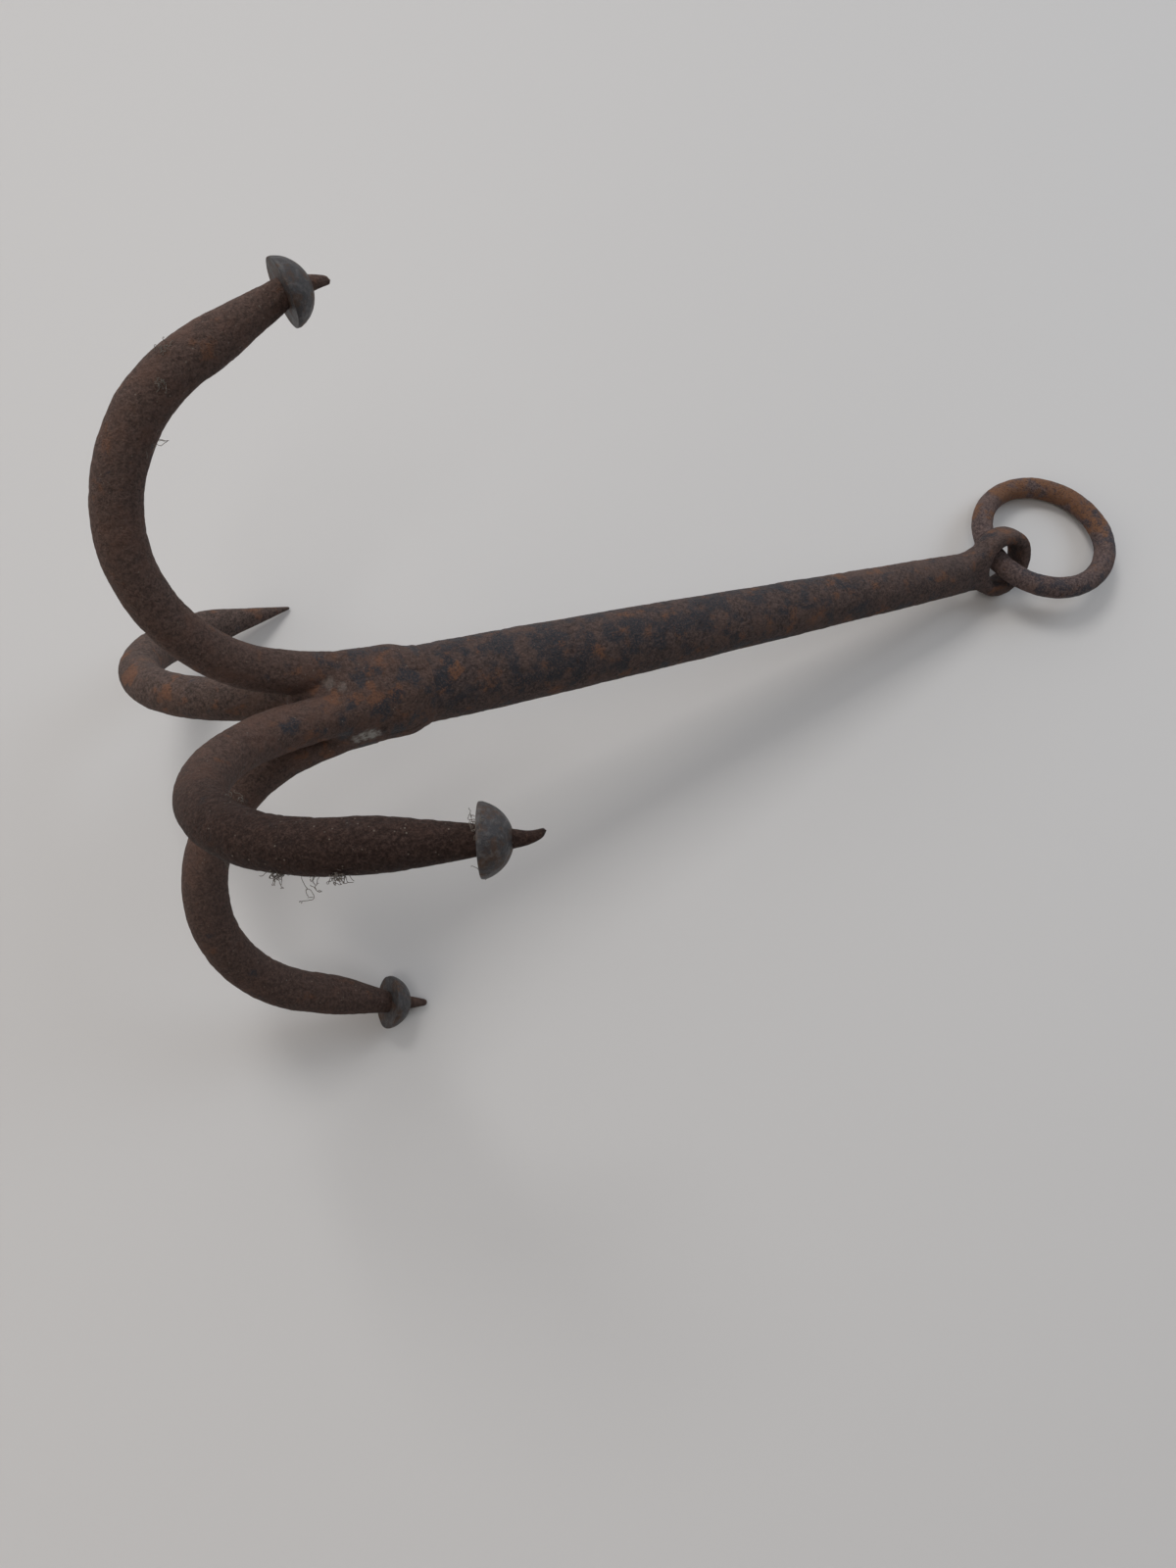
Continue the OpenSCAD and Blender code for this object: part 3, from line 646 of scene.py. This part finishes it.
lint = bpy.data.materials.new("grey_lint")
lint.use_nodes = True
lint.node_tree.nodes["Principled BSDF"].inputs["Base Color"].default_value = linear("#6d655d")
lint.node_tree.nodes["Principled BSDF"].inputs["Roughness"].default_value = 0.9
lint_piece("lint_front", [
    ((-41.3, -47.6, 43.9), 0.13, 0.6, 30), ((-37, -50.5, 46.5), 0.3, 1, 6), ((-33, -51.8, 48.9), 0.13, 0.5, 30),
    ((-43.8, -30.1, 36), 0.18, 0.6, 4), ((-49.5, -38, 37), 0.12, 1.2, 12)], 5)
lint_piece("lint_cap", [
    (tuple(front.tip() + [-1.2, 1, 5]), 0.14, 0.6, 14), (tuple(front.tip() + [0, -4, -3]), 0.14, 0.5, 8)], 9)
lint_piece("lint_up", [
    ((-41, 35.5, 48.3), 0.3, 0.7, 3), ((-37.9, 42.2, 57.9), 0.12, 0.5, 8), ((-36.5, 47.0, 59.5), 0.13, 0.5, 10)], 7)


# The ring: round rod bent and forge-welded into a loose ring, worn a little where it runs in the eye. Its
# rust is purple-brown with orange on the far limb and blue-black scale on the near one.
ring_iron = wrought_iron("rusted_wrought_iron_ring",
                         "#3d3232", "#6f5e5b", "#745c52", "#80583c", "#34343c", 0.6, 0.61, 0.1)
RING_R, ROD_R = 18.1, 3.0
RING_CENTRE = np.array([115.222, 6.66546, 6.6171])
RING_TILT, RING_LOW = np.radians(11.5276), np.radians(51)
ring_down = np.array([np.cos(RING_LOW) * np.cos(RING_TILT), np.sin(RING_LOW) * np.cos(RING_TILT), -np.sin(RING_TILT)])
ring_across = np.array([-np.sin(RING_LOW), np.cos(RING_LOW), 0])
ring_up = np.cross(ring_down, ring_across)


def ring_surface(ways=300, around=56):
    """The rod carried round the ring: a circle of spokes, and round each a circle of the rod's radius."""
    way = 2 * np.pi * np.arange(ways)[:, None] / ways
    turn = 2 * np.pi * np.arange(around)[None, :] / around
    spoke = np.cos(way)[..., None] * ring_down + np.sin(way)[..., None] * ring_across
    out = np.cos(turn)[..., None] * spoke + np.sin(turn)[..., None] * ring_up
    grid = RING_CENTRE + RING_R * spoke + ROD_R * out
    height = hammered(grid, 61, 0.09, 0.12) - 0.04
    grid = grid + height[..., None] * out
    return grid.reshape(-1, 3), loop_faces(ways, around).tolist(), height.ravel()


ring_points, ring_faces, ring_height = ring_surface()
dark = np.clip(-2.5 * ring_height - 0.35, 0, 0.6)
spoke = (ring_points - RING_CENTRE) / RING_R
far_limb = np.clip(0.2 + 0.9 * spoke @ np.array([0.6, 0.8, 0]) + 0.5 * lump(ring_points, 6, 67), 0, 0.8)
near_limb = np.clip(0.1 + 0.8 * spoke @ np.array([0.2, -1, 0]) + 0.5 * lump(ring_points, 5, 71), 0, 0.8)
finish_and_shade = (far_limb, near_limb, 0 * dark, dark)
ring = piece("ring", ring_points / 1000, ring_faces, finish_and_shade, ring_iron, "ring", "ring")


# The table: a plain pale painted board, and the room's light: a soft window light from the far side, a weaker
# one above, a broad one, a cool one and a warm one at the ends, and a surround that is palest on the far side.
TABLE_HALF = 2
table_mesh = bpy.data.meshes.new("table")
corners = [(-TABLE_HALF, -TABLE_HALF, 0), (TABLE_HALF, -TABLE_HALF, 0), (TABLE_HALF, TABLE_HALF, 0),
           (-TABLE_HALF, TABLE_HALF, 0)]
table_mesh.from_pydata(corners, [], [(0, 1, 2, 3)])
table_paint = bpy.data.materials.new("pale_painted_board")
table_paint.use_nodes = True
board = table_paint.node_tree.nodes["Principled BSDF"]
board.inputs["Base Color"].default_value = linear("#d5d3d2")
board.inputs["Roughness"].default_value = 0.6
table_mesh.materials.append(table_paint)
table = bpy.data.objects.new("table", table_mesh)
bpy.context.scene.collection.objects.link(table)


def soft_light(name, towards, distance, size, watts, colour):
    """A square area light that looks at the middle of the tool from the given direction."""
    data = bpy.data.lights.new(name, "AREA")
    data.size, data.energy, data.color = size, watts, colour
    made = bpy.data.objects.new(name, data)
    way = Vector(towards).normalized()
    made.location = Vector((0, 0, 0.03)) + way * distance
    made.rotation_euler = way.to_track_quat("Z", "Y").to_euler()
    bpy.context.scene.collection.objects.link(made)


soft_light("window", (-0.15, 0.71, 1), 1.3, 0.42, 4.6, (1.0, 0.99, 0.97))
soft_light("ceiling", (-0.24, -0.27, 1), 1.5, 0.5, 2.4, (1.0, 0.98, 0.96))
soft_light("room", (0, 0.6, 1), 2.0, 3.0, 4.2, (1.0, 1.0, 1.0))
soft_light("doorway", (0.9, 0.1, 0.7), 1.1, 0.6, 2.2, (0.76, 0.88, 1.0))
soft_light("lamp", (-1, -0.3, 0.7), 1.1, 0.6, 1.3, (1.0, 0.88, 0.74))
world = bpy.data.worlds.new("room")
world.use_nodes = True
tree = world.node_tree
ray = add(tree, "TexCoord", {}).outputs["Generated"]
facing = add(tree, "VectorMath", {0: ray, 1: (0.0, 0.8, -0.6)}, operation="DOT_PRODUCT").outputs["Value"]
brightness = add(tree, "MapRange", {0: facing, 1: -0.7, 2: 0.8, 3: 0.08, 4: 0.95}).outputs[0]
tree.links.new(brightness, tree.nodes["Background"].inputs["Strength"])
tree.nodes["Background"].inputs["Color"].default_value = linear("#f6f5f6")
bpy.context.scene.world = world
bpy.context.scene.view_settings.view_transform = "Standard"

# The camera stands over the hooks and looks down at the tool, as the photograph does. Its place and its ways
# to the right and up are given along the shank.
camera_data = bpy.data.cameras.new("camera")
camera_data.lens, camera_data.sensor_width = 26.75, 36
camera = bpy.data.objects.new("camera", camera_data)
ways = np.array([[0.89345, -0.34474, 0.28827], [0.22825, 0.90072, 0.36975], -VIEW]) @ LIE.T
eye_place = laid(np.array([-67.05, -103.189, 235.815]))
camera.matrix_world = Matrix([*np.column_stack([ways.T, eye_place]).tolist(), [0, 0, 0, 1]])
bpy.context.scene.collection.objects.link(camera)
bpy.context.scene.camera = camera
